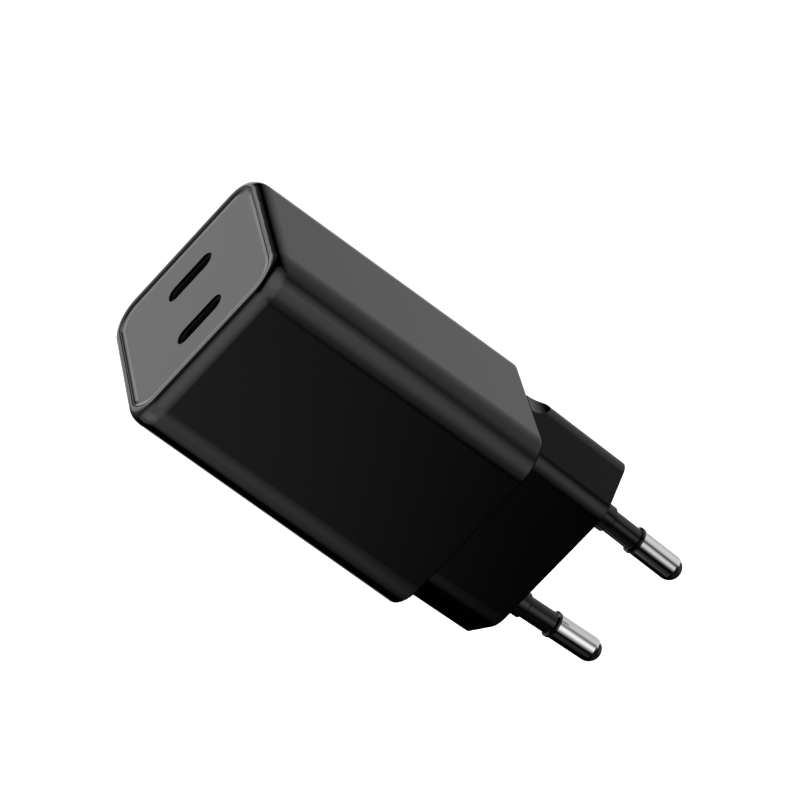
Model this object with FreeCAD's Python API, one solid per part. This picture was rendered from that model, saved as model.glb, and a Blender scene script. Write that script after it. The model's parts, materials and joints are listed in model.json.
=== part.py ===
import FreeCAD, Part
import math
import os

# Dual USB-C wall charger with a flat two-pin plug.
# Frame: origin at the centre of the plug face, between the two pins.
# +Y points the way the pins point (into the wall), the ports face -Y,
# X runs from pin to pin, and +Z is up when the charger lies on its broad side.

V = FreeCAD.Vector
Y_AXIS = V(0, 1, 0)
Z_AXIS = V(0, 0, 1)

# ---------------------------------------------------------------- driving dimensions
front_width = 32.1         # X, housing at the front rim
rear_width = 32.7          # X, housing at the rear edge: moulding draft
body_height = 31.5         # Z, housing
body_length = 49.4         # Y, housing from front rim to rear edge
plug_length = 18.1         # Y, plug block from housing to plug face
wall = 1.8                 # housing wall
corner_radius = 5.7        # the housing's four long edges
front_inset = 1.4          # the sides curve in this far towards the front rim
front_sweep = 2.4          # Y, length of that curve
front_sections = 8         # sections that define it
rim_land = 0.3             # narrow crest between that round and the front plate
rim_edge_round = 0.12      # inner edge of the crest
rear_round = 0.3           # outer rear edge of the housing

seam = 0.12                # gap round the front plate
plate_thickness = 1.4      # plate under its flat field
plate_border = 0.1         # flat top of the plate's border
plate_border_drop = 0.06   # that top below the housing rim
plate_cove_width = 0.95    # concave part of the border
plate_cove_depth = 0.32    # flat field below the border's top
cove_sections = 6          # sections that define it
ledge_width = 1.4          # step behind the plate that it sits on
ledge_thickness = 1.0

port_pitch = 12.6          # Z distance between the two ports
port_shift = 0.35          # Z, middle between the ports above the plate's centre
slot_width = 9.2           # X, opening in the plate
slot_height = 3.1          # Z, opening in the plate
slot_land = 0.5            # depth of the opening before the receptacle starts
shell_width = 8.94         # X, receptacle shell outside
shell_height = 3.26        # Z, receptacle shell outside
shell_length = 7.4         # Y, receptacle shell
shell_sheet = 0.3          # receptacle shell sheet
tongue_width = 6.69        # X, receptacle tongue
tongue_thickness = 0.7     # Z, receptacle tongue
tongue_reach = 4.5         # Y, tongue in front of the insulator block
insulator_depth = 1.5      # Y, block that carries the tongue

plug_half_width = 18.2     # X, sharp vertex of the plug's hexagon at the plug face
plug_half_height = 6.55    # Z, flats of the hexagon
plug_taper = 0.018         # the plug widens by this much per side and mm towards the housing
vertex_round = 2.2         # rounding of the hexagon's outer edges
shoulder_round = 3.9       # rounding between flat and 45 degree facet
face_round = 0.12          # edge of the plug face
fairing_radius = 4.2       # concave side fairing between housing side and plug edge
plug_wall = 1.9            # wall of the hollow plug
cover_thickness = 2.0      # rear cover that closes the housing
face_thickness = 3.0       # plug face, which holds the pins

pin_pitch_face = 18.45     # pin spacing at the plug face
pin_pitch_tip = 17.3       # pin spacing at the pin tips
pin_length = 19.0          # pin in front of the plug face
pin_radius = 2.0           # bare metal end
pin_waist_radius = 1.35    # metal core under the sleeve
sleeve_radius = 1.78       # insulating sleeve
sleeve_length = 10.0       # sleeve in front of the plug face
collar_radius = 2.1        # thicker root of the sleeve
collar_length = 4.4
ridge_radius = 2.16        # small ridge at the sleeve's end
ridge_length = 0.4
pin_root = 4.6             # pin behind the plug face

board_thickness = 1.2
board_top = -6.5           # Z of the main board's component side
board_width = 25.6
component_height = 16.0    # tallest parts above the main board
transformer_place = (-3.4, -44.0)
port_board_thickness = 1.0

# ---------------------------------------------------------------- derived places
body_rear = -plug_length
body_front = body_rear - body_length
cavity_width = front_width - 2 * wall
cavity_height = body_height - 2 * wall
cavity_radius = corner_radius - wall

rim_width = front_inset + rim_land
opening_width = front_width - 2 * rim_width
opening_height = body_height - 2 * rim_width
opening_radius = corner_radius - rim_width
plate_width = opening_width - 2 * seam
plate_height = opening_height - 2 * seam
plate_radius = opening_radius - seam

plate_front = body_front + plate_border_drop
plate_field = plate_front + plate_cove_depth
plate_back = plate_field + plate_thickness
frame_back = plate_back + ledge_thickness

shell_front = plate_field + slot_land
shell_back = shell_front + shell_length
port_board_back = shell_back + port_board_thickness
board_front = port_board_back + 0.3
board_back = body_rear - cover_thickness - 0.6
board_bottom = board_top - board_thickness

pin_lean = (pin_pitch_face - pin_pitch_tip) / 2 / pin_length
port_places = {"upper": port_shift + port_pitch / 2, "lower": port_shift - port_pitch / 2}
sides = {"left": -1, "right": 1}

parts = {}


# ---------------------------------------------------------------- shape helpers
def box(x_low, x_high, y_low, y_high, z_low, z_high):
    return Part.makeBox(x_high - x_low, y_high - y_low, z_high - z_low, V(x_low, y_low, z_low))


def centred_box(x, y, z_low, size_x, size_y, size_z):
    return box(x - size_x / 2, x + size_x / 2, y - size_y / 2, y + size_y / 2, z_low, z_low + size_z)


def edges_along(shape, axis):
    return [edge for edge in shape.Edges
            if abs(edge.tangentAt(edge.FirstParameter).dot(axis)) > 0.999]


def edges_in_plane(shape, axis, level):
    return [edge for edge in shape.Edges
            if all(abs(vertex.Point.dot(axis) - level) < 1e-6 for vertex in edge.Vertexes)
            and abs(edge.CenterOfMass.dot(axis) - level) < 1e-6]


def rounded_bar(width, height, radius, y_low, y_high, z_mid=0.0):
    """Bar along Y whose section is a rounded rectangle."""
    bar = box(-width / 2, width / 2, y_low, y_high, z_mid - height / 2, z_mid + height / 2)
    return bar.makeFillet(radius, edges_along(bar, Y_AXIS))


def rounded_outline(width, height, radius, y):
    """The wire of such a section in the plane of one y."""
    bar = rounded_bar(width, height, radius, y, y + 1.0)
    return Part.Wire(Part.__sortEdges__(edges_in_plane(bar, Y_AXIS, y)))


def rounded_tube(width, height, radius, sheet, y_low, y_high, z_mid=0.0):
    outer = rounded_bar(width, height, radius, y_low, y_high, z_mid)
    inner = rounded_bar(width - 2 * sheet, height - 2 * sheet, radius - sheet, y_low, y_high, z_mid)
    return outer.cut(inner)


def rod(radius, length, start, direction):
    return Part.makeCylinder(radius, length, start, direction)


def turned(profile, axis_point, axis_direction):
    """Solid of revolution. The profile lists (distance along the axis, radius)."""
    points = [V(radius, 0, height) for height, radius in profile]
    points = [V(0, 0, profile[0][0])] + points + [V(0, 0, profile[-1][0])]
    face = Part.Face(Part.makePolygon(points + [points[0]]))
    solid = face.revolve(V(0, 0, 0), Z_AXIS, 360)
    solid.Placement = FreeCAD.Placement(axis_point, FreeCAD.Rotation(Z_AXIS, axis_direction))
    return solid


def rounded_block(size_x, size_y, size_z, radius, x, y, z_low):
    """Component body with its upright edges rounded."""
    body = centred_box(x, y, z_low, size_x, size_y, size_z)
    return body.makeFillet(radius, edges_along(body, Z_AXIS))


# ---------------------------------------------------------------- housing
def housing_width(y):
    share = (y - body_front) / body_length
    return front_width + (rear_width - front_width) * share


def make_main_housing():
    """One-piece sleeve: open at the rear, with a narrow frame round the front plate."""
    sweep_end = body_front + front_sweep
    front_half = housing_width(sweep_end) / 2
    rear_half = rear_width / 2
    floor = -body_height / 2
    corners = [V(-front_half, sweep_end, floor), V(front_half, sweep_end, floor),
               V(rear_half, body_rear, floor), V(-rear_half, body_rear, floor)]
    shell = Part.Face(Part.makePolygon(corners + [corners[0]])).extrude(V(0, 0, body_height))
    shell = shell.makeFillet(corner_radius, edges_along(shell, Y_AXIS))
    outlines = [Part.Wire(Part.__sortEdges__(edges_in_plane(shell, Y_AXIS, sweep_end)))]
    shell = shell.makeFillet(rear_round, edges_in_plane(shell, Y_AXIS, body_rear))
    for step in range(1, front_sections + 1):
        angle = math.radians(90 * step / front_sections)
        inset = front_inset * (1 - math.cos(angle))
        y = sweep_end - front_sweep * math.sin(angle)
        outlines.append(rounded_outline(housing_width(y) - 2 * inset, body_height - 2 * inset,
                                        corner_radius - inset, y))
    shell = shell.fuse(Part.makeLoft(outlines, True, False))
    cavity = rounded_bar(cavity_width, cavity_height, cavity_radius, frame_back, body_rear + 1)
    opening = rounded_bar(opening_width, opening_height, opening_radius, body_front - 1, plate_back)
    throat = rounded_bar(opening_width - 2 * ledge_width, opening_height - 2 * ledge_width,
                         opening_radius - ledge_width, body_front - 1, frame_back + 1)
    shell = shell.cut(cavity).cut(opening).cut(throat)
    crest = [edge for edge in edges_in_plane(shell, Y_AXIS, body_front)
             if abs(edge.CenterOfMass.x) < opening_width / 2 + 0.01
             and abs(edge.CenterOfMass.z) < opening_height / 2 + 0.01]
    shell = shell.makeFillet(rim_edge_round, crest)
    return shell.fuse(make_board_rails()).removeSplitter()


def make_board_rails():
    """Four short ribs on the inner side walls that guide the main board."""
    rail_reach = cavity_width / 2 - board_width / 2 + 0.6
    ribs = []
    for side in sides.values():
        for z_low in (board_bottom - 1.0, board_top):
            wall_x = side * (cavity_width / 2 + 0.2)
            inner_x = side * (cavity_width / 2 - rail_reach)
            ribs.append(box(min(wall_x, inner_x), max(wall_x, inner_x),
                            board_front + 0.5, board_front + 4.5, z_low, z_low + 1.0))
    return ribs


def slot_bar(width, height, y_low, y_high, z_mid):
    """Bar with fully round ends, the section of a USB-C port."""
    middle = box(-(width - height) / 2, (width - height) / 2, y_low, y_high,
                 z_mid - height / 2, z_mid + height / 2)
    ends = [rod(height / 2, y_high - y_low, V(side * (width - height) / 2, y_low, z_mid), Y_AXIS)
            for side in sides.values()]
    return middle.fuse(ends).removeSplitter()


def make_front_plate():
    """Shallow tray: a border that curves down to a flat field with two slots."""
    plate = rounded_bar(plate_width, plate_height, plate_radius, plate_front, plate_back)
    cove_radius = (plate_cove_width ** 2 + plate_cove_depth ** 2) / (2 * plate_cove_depth)
    steepest = math.asin(plate_cove_width / cove_radius)
    outlines = []
    for step in range(cove_sections + 1):
        angle = steepest * (1 - step / cove_sections)
        inset = plate_border + plate_cove_width - cove_radius * math.sin(angle)
        y = plate_field - cove_radius * (1 - math.cos(angle))
        outlines.append(rounded_outline(plate_width - 2 * inset, plate_height - 2 * inset,
                                        plate_radius - inset, y))
    plate = plate.cut(Part.makeLoft(outlines, True, False))
    for z_mid in port_places.values():
        plate = plate.cut(slot_bar(slot_width, slot_height, plate_front, plate_back + 1, z_mid))
        pocket = slot_bar(shell_width + 0.1, shell_height + 0.1, shell_front, plate_back + 1, z_mid)
        plate = plate.cut(pocket)
    return plate


# ---------------------------------------------------------------- plug
def hexagon_outline(half_width, half_height, y):
    """Flat hexagon with 45 degree facets, rounded at its two vertices and four shoulders."""
    flat = half_width - half_height
    points = [V(half_width, y, 0), V(flat, y, half_height), V(-flat, y, half_height),
              V(-half_width, y, 0), V(-flat, y, -half_height), V(flat, y, -half_height)]
    prism = Part.Face(Part.makePolygon(points + [points[0]])).extrude(V(0, 1, 0))
    upright = edges_along(prism, Y_AXIS)
    vertices = [edge for edge in upright if abs(edge.CenterOfMass.z) < 1e-6]
    prism = prism.makeFillet(vertex_round, vertices)
    shoulders = [edge for edge in edges_along(prism, Y_AXIS)
                 if abs(abs(edge.CenterOfMass.z) - half_height) < 1e-6]
    prism = prism.makeFillet(shoulder_round, shoulders)
    return Part.Wire(Part.__sortEdges__(edges_in_plane(prism, Y_AXIS, y)))


def hexagon_bar(shrink, y_low, y_high):
    """The plug's tapered outside, or with a shrink its inside."""
    outlines = []
    for y in (y_low, y_high):
        half_width = plug_half_width - plug_taper * y - shrink * math.sqrt(2)
        outlines.append(hexagon_outline(half_width, plug_half_height - shrink, y))
    return Part.makeLoft(outlines, True, True)


def pin_axis(side):
    return V(-side * pin_lean, 1, 0).normalize()


def pin_point(side, y):
    return V(side * (pin_pitch_face / 2 - pin_lean * y), y, 0)


def make_plug_base():
    """Rear cover and hollow plug block in one moulding."""
    block = hexagon_bar(0.0, body_rear - 0.5, 0.0)
    block = block.makeFillet(face_round, edges_in_plane(block, Y_AXIS, 0.0))
    block = block.cut(box(-25, 25, body_rear - 1, body_rear, -25, 25))
    for side in sides.values():
        centre = V(side * (rear_width / 2 + fairing_radius), body_rear, -plug_half_height - 1)
        block = block.cut(rod(fairing_radius, 2 * plug_half_height + 2, centre, Z_AXIS))
    cover = rounded_bar(cavity_width, cavity_height, cavity_radius,
                        body_rear - cover_thickness, body_rear)
    base = block.fuse(cover)
    base = base.cut(hexagon_bar(plug_wall, body_rear - cover_thickness - 1, -face_thickness))
    for side in sides.values():
        bore = rod(pin_radius, face_thickness + 2, pin_point(side, -face_thickness - 1), pin_axis(side))
        base = base.cut(bore)
    return base.removeSplitter()


def make_pin(side):
    """Brass pin: round nose, full diameter at the tip, waist under the sleeve, flanged root."""
    nose = pin_radius
    flange_end = -pin_root + 1.5
    profile = [(-pin_root, pin_radius + 0.5), (flange_end, pin_radius + 0.5), (flange_end, pin_radius),
               (-0.1, pin_radius), (-0.1, pin_waist_radius),
               (sleeve_length, pin_waist_radius), (sleeve_length, pin_radius)]
    for step in range(9):
        angle = math.radians(10 * step)
        profile.append((pin_length - nose + nose * math.sin(angle), nose * math.cos(angle)))
    return turned(profile, pin_point(side, 0.0), pin_axis(side))


def make_pin_sleeve(side):
    """Insulating sleeve with a thick root and a small end ridge, square against the plug face."""
    ridge_start = sleeve_length - ridge_length
    outer = [(-0.1, collar_radius), (collar_length - 0.3, collar_radius), (collar_length, sleeve_radius),
             (ridge_start - 0.2, sleeve_radius), (ridge_start, ridge_radius),
             (sleeve_length, ridge_radius)]
    sleeve = turned(outer, pin_point(side, 0.0), pin_axis(side))
    core = rod(pin_waist_radius, sleeve_length + 2, pin_point(side, 0.0) - pin_axis(side), pin_axis(side))
    return sleeve.cut(core).cut(box(-25, 25, -2, 0, -5, 5))


def make_pin_retainer():
    """Plate behind the plug face that clamps the pins' flanges."""
    depth = 2.0
    front = -pin_root - 0.08
    back = front - depth
    plate = hexagon_bar(plug_wall, back, front)
    for side in sides.values():
        window = centred_box(side * pin_pitch_face / 2, 0, -1.6, 2.2, 4.0, 3.2)
        window.translate(V(0, back + depth / 2, 0))
        plate = plate.cut(window)
    return plate


def make_contact(side):
    """Bent strip from the pin's root to the main board."""
    half = 0.25
    x_pin = side * (pin_pitch_face / 2 + 0.2)
    y_bend = board_back - 2.0
    strip_low = board_top
    along = box(x_pin - half, x_pin + half, y_bend, -pin_root, -1.4, 1.4)
    down = box(x_pin - half, x_pin + half, y_bend, y_bend + 2.0, strip_low, -1.4)
    return along.fuse(down).removeSplitter()


# ---------------------------------------------------------------- ports
def make_usb_shell(z_mid):
    """Seamless stainless shell of one receptacle."""
    outer = slot_bar(shell_width, shell_height, shell_front, shell_back, z_mid)
    inner = slot_bar(shell_width - 2 * shell_sheet, shell_height - 2 * shell_sheet,
                     shell_front - 1, shell_back + 1, z_mid)
    return outer.cut(inner)


def make_usb_tongue(z_mid):
    """Insulator block at the back of the shell with the contact tongue in front of it."""
    insulator = slot_bar(shell_width - 2 * shell_sheet, shell_height - 2 * shell_sheet,
                         shell_back - insulator_depth, shell_back, z_mid)
    tongue = box(-tongue_width / 2, tongue_width / 2, shell_back - insulator_depth - tongue_reach,
                 shell_back - insulator_depth, z_mid - tongue_thickness / 2, z_mid + tongue_thickness / 2)
    return insulator.fuse(tongue).removeSplitter()


def make_usb_contacts(z_mid):
    """Twelve gold contacts on each face of one tongue."""
    contact_pitch = 0.5
    contacts = []
    for row in (-1, 1):
        face = z_mid + row * tongue_thickness / 2
        for index in range(12):
            x = (index - 5.5) * contact_pitch
            contacts.append(box(x - 0.13, x + 0.13, shell_back - insulator_depth - tongue_reach + 0.5,
                                shell_back - insulator_depth, min(face, face + row * 0.06),
                                max(face, face + row * 0.06)))
    return Part.makeCompound(contacts)


# ---------------------------------------------------------------- boards
def make_boards():
    main_board = box(-board_width / 2, board_width / 2, board_front, board_back, board_bottom, board_top)
    port_board = box(-11.8, 11.8, shell_back, port_board_back, -12.4, 12.4)
    header = centred_box(0, 0, board_top, 12.0, 2.4, 2.4)
    header.translate(V(0, port_board_back + 1.2, 0))
    controller = centred_box(0, port_board_back + 0.45, 2.0, 5.0, 0.9, 5.0)
    return {"main_board": main_board, "port_board": port_board,
            "board_header": header, "protocol_controller": controller}


# ---------------------------------------------------------------- power parts
def upright_can(radius, height, x, y):
    """Electrolytic capacitor: a can with a rolled top edge and a crimp near its foot."""
    profile = [(0.0, radius - 0.15), (0.3, radius), (1.3, radius), (1.6, radius - 0.35),
               (1.9, radius), (height - 0.4, radius), (height, radius - 0.4)]
    return turned(profile, V(x, y, board_top), Z_AXIS)


def lying_disc(radius, thickness, x, y, z_mid):
    """Coated disc component on two leads, its faces towards +-Y."""
    disc = rod(radius, thickness, V(x, y - thickness / 2, z_mid), Y_AXIS)
    rims = [edge for edge in disc.Edges if edge.Closed]
    disc = disc.makeFillet(thickness * 0.3, rims)
    leads = [rod(0.3, z_mid - board_top, V(x + side * radius * 0.6, y, board_top), Z_AXIS)
             for side in sides.values()]
    return disc.fuse(leads).removeSplitter()


def make_transformer():
    """Flyback transformer: two ferrite halves round a wound bobbin."""
    x, y = transformer_place
    foot = board_top
    core_x, core_y, half_height = 15.0, 12.0, component_height / 2
    leg = 2.6
    centre_radius = 2.9
    bobbin_flange = 1.0
    window_low = foot + leg
    window_high = foot + 2 * half_height - leg
    halves = {}
    for name, z_low, z_high in (("lower", foot, foot + half_height),
                                ("upper", foot + half_height, foot + 2 * half_height)):
        half = centred_box(x, y, z_low, core_x, core_y, half_height)
        gap_low = max(z_low, window_low)
        gap_high = min(z_high, window_high)
        half = half.cut(centred_box(x, y, gap_low, core_x - 2 * leg, core_y + 2, gap_high - gap_low))
        half = half.fuse(rod(centre_radius, gap_high - gap_low, V(x, y, gap_low), Z_AXIS))
        halves["transformer_core_" + name] = half.removeSplitter()
    bore = rod(centre_radius, 40, V(x, y, foot - 1), Z_AXIS)
    barrel = rod(centre_radius + 0.6, window_high - window_low, V(x, y, window_low), Z_AXIS)
    flange_radius = (core_x - 2 * leg) / 2
    bobbin = barrel
    for z_low in (window_low, window_high - bobbin_flange):
        bobbin = bobbin.fuse(rod(flange_radius, bobbin_flange, V(x, y, z_low), Z_AXIS))
    winding_low = window_low + bobbin_flange
    winding_height = window_high - window_low - 2 * bobbin_flange
    winding = rod(flange_radius - 0.4, winding_height, V(x, y, winding_low), Z_AXIS)
    winding = winding.cut(barrel)
    tape = rod(flange_radius - 0.2, winding_height, V(x, y, winding_low), Z_AXIS)
    tape = tape.cut(rod(flange_radius - 0.4, winding_height, V(x, y, winding_low), Z_AXIS))
    halves["transformer_bobbin"] = bobbin.cut(bore).removeSplitter()
    halves["transformer_winding"] = winding
    halves["transformer_tape"] = tape
    return halves


def make_choke():
    """Common-mode choke: an upright ferrite ring with a coil on each side."""
    x, y = -6.6, -25.6
    ring_radius, hole_radius, ring_depth = 4.4, 2.2, 3.6
    z_mid = board_top + ring_radius + 1.0
    start = V(x, y - ring_depth / 2, z_mid)
    ring = rod(ring_radius, ring_depth, start, Y_AXIS)
    ring = ring.cut(rod(hole_radius, ring_depth, start, Y_AXIS))
    wire = 0.7
    pieces = {"choke_core": ring}
    coil = rod(ring_radius + wire, ring_depth + 2 * wire, V(x, y - ring_depth / 2 - wire, z_mid), Y_AXIS)
    coil = coil.cut(rod(hole_radius - wire, 20, V(x, y - 10, z_mid), Y_AXIS)).cut(ring)
    for name, side in sides.items():
        reach = box(x + side * 4.0 - 2.8, x + side * 4.0 + 2.8, y - 6, y + 6, z_mid - 3.4, z_mid + 3.4)
        pieces["choke_coil_" + name] = coil.common(reach)
    base = centred_box(x, y, board_top, 9.0, 5.0, 0.9)
    pieces["choke_base"] = base.cut(coil).cut(ring)
    return pieces


def make_mains_parts():
    """Fuse, surge and inrush protection, filter capacitor and bridge rectifier."""
    fuse = rounded_block(8.2, 3.8, 7.2, 0.8, 4.9, -23.6, board_top)
    x_capacitor = rounded_block(12.0, 5.0, 10.5, 0.6, -5.6, -31.8, board_top)
    varistor = lying_disc(3.9, 3.0, 5.6, -27.6, board_top + 5.2)
    thermistor = lying_disc(3.0, 2.6, 5.6, -31.6, board_top + 4.2)
    bridge = centred_box(-5.0, -29.0, board_bottom - 1.4, 6.4, 5.0, 1.4)
    return {"fuse": fuse, "x_capacitor": x_capacitor, "varistor": varistor,
            "thermistor": thermistor, "bridge_rectifier": bridge}


def make_converter_parts():
    """Bulk and output capacitors, power chips, safety capacitor and optocoupler."""
    chip_height = 0.9
    made = {
        "bulk_capacitor_front": upright_can(4.0, component_height, 8.4, -46.2),
        "bulk_capacitor_rear": upright_can(4.0, component_height, 8.4, -37.6),
        "output_capacitor_left": upright_can(2.5, 9.0, -8.6, -52.9),
        "output_capacitor_right": upright_can(2.5, 9.0, -3.0, -52.9),
        "y_capacitor": lying_disc(2.8, 2.4, 3.4, -53.0, board_top + 4.0),
        "optocoupler": centred_box(9.6, -53.6, board_top, 4.4, 3.6, 2.2),
        "gan_controller": centred_box(5.0, -40.0, board_bottom - chip_height, 6.0, 8.0, chip_height),
        "sync_rectifier": centred_box(-5.0, -50.0, board_bottom - chip_height, 5.0, 6.0, chip_height),
    }
    return made


# ---------------------------------------------------------------- heat and insulation
def make_heat_parts():
    """Insulating sleeve round the boards, a bent heat spreader over it and a thermal pad."""
    front = port_board_back + 5.0
    rear = body_rear - cover_thickness - 0.2
    sheet = 0.4
    spreader = rounded_tube(cavity_width, cavity_height, cavity_radius, sheet, front, rear)
    side_reach = -5.5
    spreader = spreader.cut(box(-20, 20, front - 1, rear + 1, -20, side_reach))
    film = 0.2
    film_width = cavity_width - 2 * sheet
    film_height = cavity_height - 2 * sheet
    sleeve = rounded_tube(film_width, film_height, cavity_radius - sheet, film, front, rear)
    pad_low = board_top + component_height
    pad_high = film_height / 2 - film
    pad_x, pad_y = transformer_place
    pad = centred_box(pad_x, pad_y, pad_low, 14.0, 11.0, pad_high - pad_low)
    return {"heat_spreader": spreader, "insulating_sleeve": sleeve, "thermal_pad": pad}


# ---------------------------------------------------------------- assembly
parts["main_housing"] = make_main_housing()
parts["front_plate"] = make_front_plate()
parts["plug_base"] = make_plug_base()
parts["pin_retainer"] = make_pin_retainer()
for name, side in sides.items():
    parts[name + "_pin"] = make_pin(side)
    parts[name + "_pin_sleeve"] = make_pin_sleeve(side)
    parts[name + "_contact"] = make_contact(side)
for name, z_mid in port_places.items():
    parts[name + "_usb_shell"] = make_usb_shell(z_mid)
    parts[name + "_usb_tongue"] = make_usb_tongue(z_mid)
    parts[name + "_usb_contacts"] = make_usb_contacts(z_mid)
parts.update(make_boards())
parts.update(make_transformer())
parts.update(make_choke())
parts.update(make_mains_parts())
parts.update(make_converter_parts())
parts.update(make_heat_parts())

os.makedirs("parts", exist_ok=True)
for node, shape in parts.items():
    shape.exportStep("parts/" + node + ".step")
    print(node, "solids", len(shape.Solids), "valid", shape.isValid(), "volume", round(shape.Volume, 2))
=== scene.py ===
import json
import math

import bpy
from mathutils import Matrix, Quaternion, Vector


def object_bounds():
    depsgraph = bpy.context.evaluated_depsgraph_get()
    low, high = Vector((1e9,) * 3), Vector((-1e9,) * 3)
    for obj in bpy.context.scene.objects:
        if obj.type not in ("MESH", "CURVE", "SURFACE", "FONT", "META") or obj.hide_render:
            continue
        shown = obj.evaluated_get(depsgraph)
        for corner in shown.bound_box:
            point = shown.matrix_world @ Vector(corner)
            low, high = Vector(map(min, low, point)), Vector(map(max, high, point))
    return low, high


# Dual USB-C wall charger, near-black moulded plastic with two nickel-plated pins.
# Row frame, metres: the pins point along +Y, the ports face -Y, +Z is up.

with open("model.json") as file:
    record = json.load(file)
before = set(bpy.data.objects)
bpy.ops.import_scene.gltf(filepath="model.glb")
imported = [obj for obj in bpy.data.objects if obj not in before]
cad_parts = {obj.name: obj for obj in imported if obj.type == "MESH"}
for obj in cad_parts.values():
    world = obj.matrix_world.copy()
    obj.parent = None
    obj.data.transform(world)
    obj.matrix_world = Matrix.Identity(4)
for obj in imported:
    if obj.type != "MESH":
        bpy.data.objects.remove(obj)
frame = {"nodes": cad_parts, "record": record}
nodes = frame["nodes"]
cad_low, cad_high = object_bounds()

MM = 0.001

# Ends of the band in which the noise textures vary, used to stretch it to full range.
NOISE_LOW = 0.3
NOISE_HIGH = 0.7

# ---------------------------------------------------------------- camera
CAMERA_AIM = Vector((-0.003857, -0.031010, -0.004547))
CAMERA_AZIMUTH = -33.975
CAMERA_ELEVATION = 59.770
CAMERA_ROLL = 163.746
CAMERA_DISTANCE = 0.650257
CAMERA_LENS = 205.125
CAMERA_NEAR = 0.05
CAMERA_FAR = 20.0

# ---------------------------------------------------------------- floor
FLOOR_SIZE = 6.0
FLOOR_TONE = 0.93
FLOOR_GLOW = 0.80
FLOOR_ROUGHNESS = 0.9

# ---------------------------------------------------------------- studio
# Round soft light sources far away on all sides, which only reflections see. Each row is the
# azimuth (0 towards -Y, 90 towards +X), the elevation, the full-strength radius and the outer
# radius, all in degrees, and the strength.
SOFT_SOURCES = [
    (-72, 51, 26, 48, 1.25),
    (69, 43, 19, 53, 1.55),
    (10, 55, 0, 24, 0.35),
    (-141, -26, 27, 55, 0.64),
    (3, -42, 19, 23, 1.85),
    (-27, -42, 17, 30, 0.24),
    (-67, 68, 34, 48, 0.46),
    (-168, 6, 52, 56, 0.15),
    (30, -49, 3, 32, 1.3),
    (91, -79, 16, 20, 1.43),
    (88, 12, 21, 30, 0.57),
    (-80, 31, 32, 36, 0.57),
    (143, -62, 9, 31, 0.72),
    (38, -25, 0, 53, 0.36),
]
# Round dark flags in front of them, in the same form. Their last figure is the share of light
# that they hold back.
DARK_FLAGS = [
    (174, 7, 53, 57, 0.94),
    (-125, 25, 0, 9, 0.55),
]
# Brightness of the plain white surround that the camera and the diffuse light see.
SURROUND_STRENGTH = 1.0


# ---------------------------------------------------------------- node helpers
def add(tree, kind, x, y, **values):
    node = tree.nodes.new(kind)
    node.location = (x, y)
    for name, value in values.items():
        setattr(node, name, value)
    return node


def link(tree, source, target):
    tree.links.new(source, target)


def direction(azimuth, elevation):
    a = math.radians(azimuth)
    e = math.radians(elevation)
    return Vector((math.sin(a) * math.cos(e), -math.cos(a) * math.cos(e), math.sin(e)))


# ---------------------------------------------------------------- studio surroundings
def soft_disc(tree, coordinate, source, row):
    """Strength of one round soft area for the direction looked in."""
    azimuth, elevation, inner, outer, strength = source
    toward = add(tree, "ShaderNodeVectorMath", -900, -160 * row, operation="DOT_PRODUCT")
    toward.inputs[1].default_value = direction(azimuth, elevation)
    link(tree, coordinate, toward.inputs[0])
    fall = add(tree, "ShaderNodeMapRange", -700, -160 * row, interpolation_type="SMOOTHSTEP")
    fall.inputs["From Min"].default_value = math.cos(math.radians(outer))
    fall.inputs["From Max"].default_value = math.cos(math.radians(inner))
    fall.inputs["To Min"].default_value = 0.0
    fall.inputs["To Max"].default_value = strength
    link(tree, toward.outputs["Value"], fall.inputs["Value"])
    return fall.outputs["Result"]


def combine(tree, operation, first, second, row):
    """One sum step on two values, each a plain number or a socket."""
    node = add(tree, "ShaderNodeMath", -500, -160 * row, operation=operation)
    for value, socket in zip((first, second), node.inputs):
        if isinstance(value, float):
            socket.default_value = value
        else:
            link(tree, value, socket)
    return node.outputs["Value"]


def make_world():
    """White surround for the camera and diffuse light, the soft sources for reflections."""
    world = bpy.data.worlds.new("studio")
    bpy.context.scene.world = world
    world.use_nodes = True
    tree = world.node_tree
    tree.nodes.clear()
    coordinate = add(tree, "ShaderNodeTexCoord", -1100, 0)
    look = coordinate.outputs["Generated"]
    total = 0.0
    for row, source in enumerate(SOFT_SOURCES):
        total = combine(tree, "ADD", total, soft_disc(tree, look, source, row), row)
    for row, flag in enumerate(DARK_FLAGS, len(SOFT_SOURCES)):
        passed = combine(tree, "SUBTRACT", 1.0, soft_disc(tree, look, flag, row), row)
        total = combine(tree, "MULTIPLY", total, passed, row)
    surroundings = add(tree, "ShaderNodeBackground", -200, 0)
    link(tree, total, surroundings.inputs["Strength"])
    plain = add(tree, "ShaderNodeBackground", -200, -200)
    plain.inputs["Strength"].default_value = SURROUND_STRENGTH
    path = add(tree, "ShaderNodeLightPath", -400, 300)
    either = add(tree, "ShaderNodeMath", -200, 250, operation="MAXIMUM")
    link(tree, path.outputs["Is Camera Ray"], either.inputs[0])
    link(tree, path.outputs["Is Diffuse Ray"], either.inputs[1])
    mix = add(tree, "ShaderNodeMixShader", 0, 0)
    link(tree, either.outputs["Value"], mix.inputs["Fac"])
    link(tree, surroundings.outputs["Background"], mix.inputs[1])
    link(tree, plain.outputs["Background"], mix.inputs[2])
    output = add(tree, "ShaderNodeOutputWorld", 200, 0)
    link(tree, mix.outputs["Shader"], output.inputs["Surface"])


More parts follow.
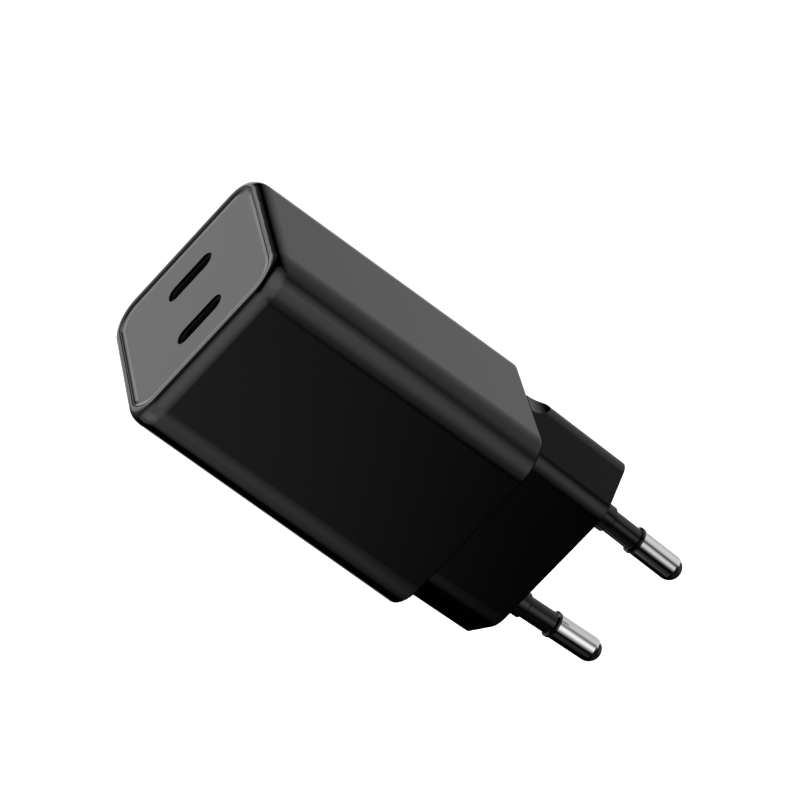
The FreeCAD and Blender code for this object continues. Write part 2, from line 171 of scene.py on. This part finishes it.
def make_floor():
    """Plain pale sheet under the object, with a slight glow of its own."""
    size = FLOOR_SIZE
    mesh = bpy.data.meshes.new("floor")
    level = cad_low.z
    corners = [(-size, -size, level), (size, -size, level), (size, size, level), (-size, size, level)]
    mesh.from_pydata(corners, [], [(0, 1, 2, 3)])
    floor = bpy.data.objects.new("floor", mesh)
    bpy.context.scene.collection.objects.link(floor)
    material = bpy.data.materials.new("floor_paper")
    material.use_nodes = True
    shader = material.node_tree.nodes["Principled BSDF"]
    shader.inputs["Base Color"].default_value = (FLOOR_TONE, FLOOR_TONE, FLOOR_TONE, 1)
    shader.inputs["Roughness"].default_value = FLOOR_ROUGHNESS
    shader.inputs["Specular IOR Level"].default_value = 0.0
    shader.inputs["Emission Color"].default_value = (1, 1, 1, 1)
    shader.inputs["Emission Strength"].default_value = FLOOR_GLOW
    mesh.materials.append(material)
    floor.visible_glossy = False


def make_camera():
    """Long lens from above the ports' end, turned about its own axis."""
    data = bpy.data.cameras.new("camera")
    data.lens = CAMERA_LENS
    data.clip_start = CAMERA_NEAR
    data.clip_end = CAMERA_FAR
    camera = bpy.data.objects.new("camera", data)
    bpy.context.scene.collection.objects.link(camera)
    back = direction(CAMERA_AZIMUTH, CAMERA_ELEVATION)
    camera.location = CAMERA_AIM + back * CAMERA_DISTANCE
    camera.rotation_mode = "QUATERNION"
    upright = (-back).to_track_quat("-Z", "Y")
    camera.rotation_quaternion = upright @ Quaternion((0, 0, 1), math.radians(CAMERA_ROLL))
    bpy.context.scene.camera = camera


# ---------------------------------------------------------------- materials
def surface_detail(tree, shader, roughness, spread, grain_mm, bump_mm, blotch_mm=9.0):
    """Roughness that varies in soft blotches and a fine moulded grain as bump."""
    coordinate = add(tree, "ShaderNodeTexCoord", -1200, 0)
    blotch = add(tree, "ShaderNodeTexNoise", -900, 100)
    blotch.inputs["Scale"].default_value = 1.0 / (blotch_mm * MM)
    blotch.inputs["Detail"].default_value = 3.0
    link(tree, coordinate.outputs["Object"], blotch.inputs["Vector"])
    band = add(tree, "ShaderNodeMapRange", -600, 100)
    band.inputs["From Min"].default_value = NOISE_LOW
    band.inputs["From Max"].default_value = NOISE_HIGH
    band.inputs["To Min"].default_value = roughness - spread
    band.inputs["To Max"].default_value = roughness + spread
    link(tree, blotch.outputs["Fac"], band.inputs["Value"])
    link(tree, band.outputs["Result"], shader.inputs["Roughness"])
    grain = add(tree, "ShaderNodeTexNoise", -900, -200)
    grain.inputs["Scale"].default_value = 1.0 / (grain_mm * MM)
    grain.inputs["Detail"].default_value = 2.0
    link(tree, coordinate.outputs["Object"], grain.inputs["Vector"])
    bump = add(tree, "ShaderNodeBump", -600, -200)
    bump.inputs["Strength"].default_value = 1.0
    bump.inputs["Distance"].default_value = bump_mm * MM
    link(tree, grain.outputs["Fac"], bump.inputs["Height"])
    link(tree, bump.outputs["Normal"], shader.inputs["Normal"])


def colour_detail(tree, shader, colour, variation, scale_mm):
    """Slight clouding of the base colour."""
    coordinate = add(tree, "ShaderNodeTexCoord", -1200, 500)
    cloud = add(tree, "ShaderNodeTexNoise", -900, 500)
    cloud.inputs["Scale"].default_value = 1.0 / (scale_mm * MM)
    cloud.inputs["Detail"].default_value = 4.0
    link(tree, coordinate.outputs["Object"], cloud.inputs["Vector"])
    ramp = add(tree, "ShaderNodeValToRGB", -600, 500)
    ramp.color_ramp.elements[0].position = NOISE_LOW
    ramp.color_ramp.elements[1].position = NOISE_HIGH
    ramp.color_ramp.elements[0].color = [c * (1 - variation) for c in colour] + [1]
    ramp.color_ramp.elements[1].color = [c * (1 + variation) for c in colour] + [1]
    link(tree, cloud.outputs["Fac"], ramp.inputs["Fac"])
    link(tree, ramp.outputs["Color"], shader.inputs["Base Color"])


def make_material(name, colour, roughness, spread=0.02, metallic=0.0,
                  grain_mm=0.05, bump_mm=0.0002, variation=0.08, cloud_mm=3.0):
    """Principled material with a clouded colour, a varied roughness and a fine grain."""
    material = bpy.data.materials.new(name)
    material.use_nodes = True
    tree = material.node_tree
    shader = tree.nodes["Principled BSDF"]
    shader.inputs["Metallic"].default_value = metallic
    colour_detail(tree, shader, colour, variation, cloud_mm)
    surface_detail(tree, shader, roughness, spread, grain_mm, bump_mm)
    return material


MATERIALS = {
    "housing_black": dict(colour=(0.0003, 0.0003, 0.0003), roughness=0.10, spread=0.012),
    "plate_charcoal": dict(colour=(0.0008, 0.0008, 0.0008), roughness=0.12, spread=0.012),
    "sleeve_black": dict(colour=(0.001, 0.001, 0.001), roughness=0.09, spread=0.012),
    "pin_nickel": dict(colour=(0.95, 0.95, 0.95), roughness=0.025, spread=0.005, metallic=1.0,
                       variation=0.02, bump_mm=0.00005),
    "brass_strip": dict(colour=(0.78, 0.62, 0.32), roughness=0.28, metallic=1.0),
    "port_steel": dict(colour=(0.06, 0.06, 0.062), roughness=0.35, metallic=1.0),
    "port_black": dict(colour=(0.006, 0.006, 0.006), roughness=0.45),
    "gold_contact": dict(colour=(0.90, 0.68, 0.28), roughness=0.22, metallic=1.0),
    "board_green": dict(colour=(0.02, 0.13, 0.05), roughness=0.35, variation=0.2),
    "chip_black": dict(colour=(0.02, 0.02, 0.02), roughness=0.55, bump_mm=0.004),
    "ferrite": dict(colour=(0.05, 0.05, 0.052), roughness=0.6, bump_mm=0.01, grain_mm=0.15),
    "copper_wire": dict(colour=(0.65, 0.26, 0.10), roughness=0.3, metallic=1.0),
    "tape_yellow": dict(colour=(0.80, 0.55, 0.05), roughness=0.3),
    "bobbin_plastic": dict(colour=(0.03, 0.03, 0.03), roughness=0.5),
    "can_aluminium": dict(colour=(0.72, 0.72, 0.74), roughness=0.3, metallic=1.0),
    "film_yellow": dict(colour=(0.72, 0.52, 0.06), roughness=0.35),
    "disc_blue": dict(colour=(0.03, 0.10, 0.38), roughness=0.35, bump_mm=0.01, grain_mm=0.6),
    "disc_green": dict(colour=(0.03, 0.18, 0.08), roughness=0.35, bump_mm=0.01, grain_mm=0.6),
    "fuse_brown": dict(colour=(0.10, 0.04, 0.02), roughness=0.35),
    "spreader_aluminium": dict(colour=(0.75, 0.75, 0.77), roughness=0.35, metallic=1.0),
    "insulating_film": dict(colour=(0.75, 0.75, 0.70), roughness=0.4),
    "thermal_grey": dict(colour=(0.35, 0.40, 0.46), roughness=0.8),
}


def dress_nodes():
    """Every CAD node gets the finish of its material slot."""
    made = {name: make_material(name, **values) for name, values in MATERIALS.items()}
    for part in frame["record"]["subparts"]:
        node = nodes[part["node"]]
        material = made[part["material_slot"]]
        node.data.materials.clear()
        node.data.materials.append(material)


make_world()
make_floor()
make_camera()
dress_nodes()

bpy.context.scene.view_settings.view_transform = "Standard"
